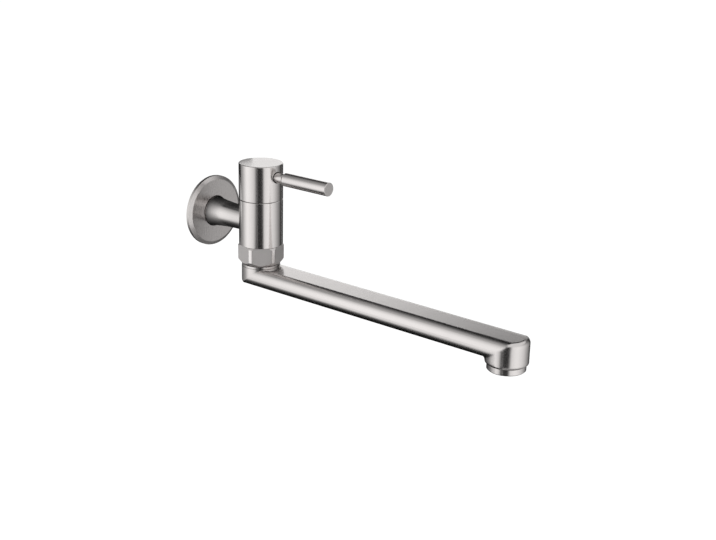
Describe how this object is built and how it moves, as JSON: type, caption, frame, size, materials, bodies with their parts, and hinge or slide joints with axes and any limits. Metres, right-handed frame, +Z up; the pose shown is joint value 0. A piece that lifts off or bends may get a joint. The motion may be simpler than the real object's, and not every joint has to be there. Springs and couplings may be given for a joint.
{
  "type": "kitchen faucet",
  "caption": "Wall-mounted kitchen tap: a round valve body with a lever cap, a union nut and a long flat spout that swivels all the way round.",
  "frame": {"origin": "on the inlet axis in the plane of the wall, where the inlet thread begins", "axes": "+Z is up, +Y points into the wall along the inlet, so the tap stands out along -Y; +X is to the right for someone facing the wall"},
  "size_m": [0.066, 0.3642, 0.1233],
  "materials": {
    "body_steel": "satin",
    "pipe_steel": "satin",
    "flange_steel": "satin",
    "nut_steel": "satin",
    "cap_steel": "satin",
    "lever_steel": "satin",
    "spout_steel": "satin",
    "aerator_steel": "satin",
    "fine_steel": "polished",
    "screw_steel": "satin",
    "valve_brass": "satin",
    "disc_ceramic": "satin",
    "black_rubber": "matte",
    "grey_rubber": "matte",
    "white_acetal": "matte",
    "insert_acetal": "matte"
  },
  "bodies": {
    "valve": {"valve_body": "body_steel", "inlet_pipe": "pipe_steel", "inlet_strainer": "fine_steel", "wall_flange": "flange_steel", "flange_ring": "black_rubber", "wall_gasket": "grey_rubber", "union_nut": "nut_steel", "slip_washer": "white_acetal", "glide_ring": "white_acetal", "cartridge_housing": "valve_brass", "housing_o_ring": "black_rubber", "seat_seal": "black_rubber", "fixed_disc": "disc_ceramic"},
    "handle": {"handle_cap": "cap_steel", "spline_bush": "white_acetal", "cap_set_screw": "screw_steel", "lever_stem": "lever_steel", "stem_seal": "black_rubber", "lever_grip": "lever_steel", "cartridge_spindle": "valve_brass", "spindle_o_rings": "black_rubber", "stop_clip": "fine_steel", "moving_disc": "disc_ceramic"},
    "spout": {"spout_arm": "spout_steel", "spout_neck": "spout_steel", "neck_o_rings": "black_rubber", "snap_ring": "fine_steel", "outlet_collar": "spout_steel", "aerator_shell": "aerator_steel", "aerator_washer": "black_rubber", "aerator_insert": "insert_acetal", "aerator_gauze": "fine_steel"}
  },
  "joints": [
    {"name": "handle_turn", "type": "hinge", "parent": "valve", "child": "handle", "pos_m": [0, -0.0635, 0.04], "axis": [0, 0, 1], "range_deg": [0, 90]},
    {"name": "spout_swivel", "type": "hinge", "parent": "valve", "child": "spout", "pos_m": [0, -0.0635, -0.03], "axis": [0, 0, 1], "continuous": true}
  ]
}
